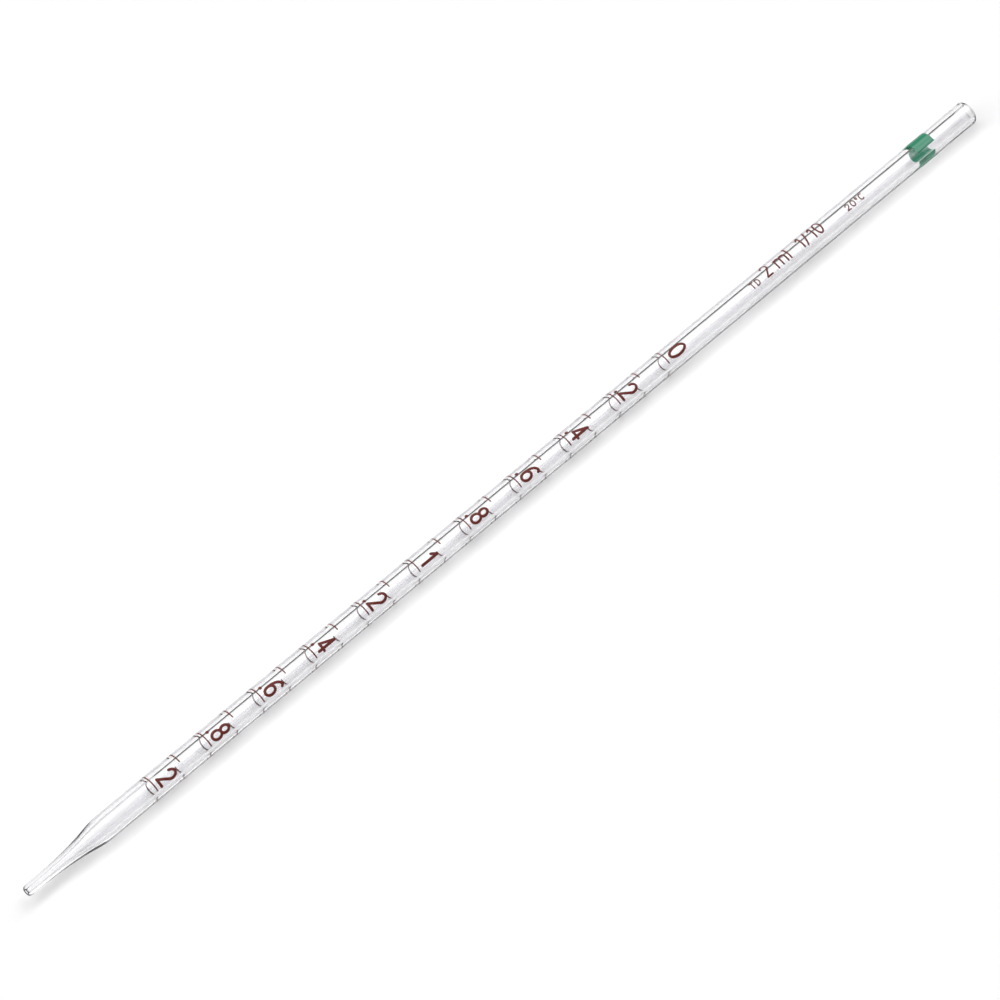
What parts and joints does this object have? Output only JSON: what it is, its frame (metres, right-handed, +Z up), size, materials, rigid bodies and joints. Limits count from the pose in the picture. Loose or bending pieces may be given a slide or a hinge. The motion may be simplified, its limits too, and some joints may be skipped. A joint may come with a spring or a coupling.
{
  "type": "graduated pipette",
  "caption": "Straight clear glass measuring pipette with a drawn, tapered tip, brown volume graduations with numerals, and a green colour code band near the mouth.",
  "frame": {"origin": "on the surface the pipette lies on, under the middle of its length", "axes": "+X along the tube from the tip to the mouth, +Z up, +Y across"},
  "size_m": [0.3416, 0.007, 0.0072],
  "materials": {
    "clear_glass": "polished",
    "brown_enamel": "fused enamel, slightly glossy",
    "green_enamel": "fused enamel, glossy"
  },
  "bodies": {
    "root": {"colour_code_band": "green_enamel", "decimal_point_0_2": "brown_enamel", "decimal_point_0_4": "brown_enamel", "decimal_point_0_6": "brown_enamel", "decimal_point_0_8": "brown_enamel", "decimal_point_1_2": "brown_enamel", "decimal_point_1_4": "brown_enamel", "decimal_point_1_6": "brown_enamel", "decimal_point_1_8": "brown_enamel", "glass_tube": "clear_glass", "graduation_0_0": "brown_enamel", "graduation_0_1": "brown_enamel", "graduation_0_2": "brown_enamel", "graduation_0_3": "brown_enamel", "graduation_0_4": "brown_enamel", "graduation_0_5": "brown_enamel", "graduation_0_6": "brown_enamel", "graduation_0_7": "brown_enamel", "graduation_0_8": "brown_enamel", "graduation_0_9": "brown_enamel", "graduation_1_0": "brown_enamel", "graduation_1_1": "brown_enamel", "graduation_1_2": "brown_enamel", "graduation_1_3": "brown_enamel", "graduation_1_4": "brown_enamel", "graduation_1_5": "brown_enamel", "graduation_1_6": "brown_enamel", "graduation_1_7": "brown_enamel", "graduation_1_8": "brown_enamel", "graduation_1_9": "brown_enamel", "graduation_2_0": "brown_enamel", "inscription_01_T": "brown_enamel", "inscription_02_D": "brown_enamel", "inscription_03_2": "brown_enamel", "inscription_04_m": "brown_enamel", "inscription_05_l": "brown_enamel", "inscription_06_1": "brown_enamel", "inscription_07_slash": "brown_enamel", "inscription_08_1": "brown_enamel", "inscription_09_0": "brown_enamel", "inscription_10_2": "brown_enamel", "inscription_11_0": "brown_enamel", "inscription_12_degree": "brown_enamel", "inscription_13_C": "brown_enamel", "numeral_0_0": "brown_enamel", "numeral_0_2": "brown_enamel", "numeral_0_4": "brown_enamel", "numeral_0_6": "brown_enamel", "numeral_0_8": "brown_enamel", "numeral_1_0": "brown_enamel", "numeral_1_2": "brown_enamel", "numeral_1_4": "brown_enamel", "numeral_1_6": "brown_enamel", "numeral_1_8": "brown_enamel", "numeral_2_0": "brown_enamel"}
  },
  "joints": []
}
